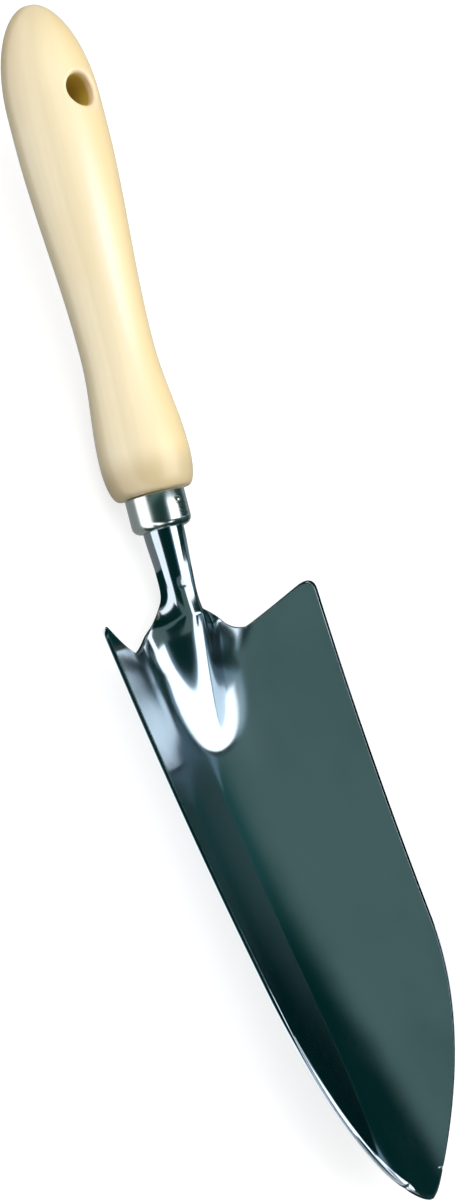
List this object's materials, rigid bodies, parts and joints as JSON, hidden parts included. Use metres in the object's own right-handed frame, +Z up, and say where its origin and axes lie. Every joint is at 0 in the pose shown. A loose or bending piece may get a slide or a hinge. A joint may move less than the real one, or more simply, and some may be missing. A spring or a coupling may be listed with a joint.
{
  "type": "transplanting trowel",
  "caption": "Slim hand trowel with a long dished pointed steel blade rolled into a neck, a plated ferrule and a turned pale wooden handle with a hanging hole.",
  "frame": {"origin": "on the ground under the middle of the tool's length and width, lying hollow side up the way it rests on a table: on the back of its blade and the front swell of its handle", "axes": "+X towards the blade's tip, +Y across the blade, +Z up, out of the blade's hollow side"},
  "size_m": [0.3406, 0.0826, 0.0402],
  "materials": {
    "lacquered_wood": "gloss",
    "plated_steel": "polished",
    "polished_steel": "polished",
    "bright_bar": "satin"
  },
  "bodies": {
    "root": {"handle": "lacquered_wood", "ferrule": "plated_steel", "ferrule_pin": "plated_steel", "tang": "bright_bar", "blade": "polished_steel"}
  },
  "joints": []
}
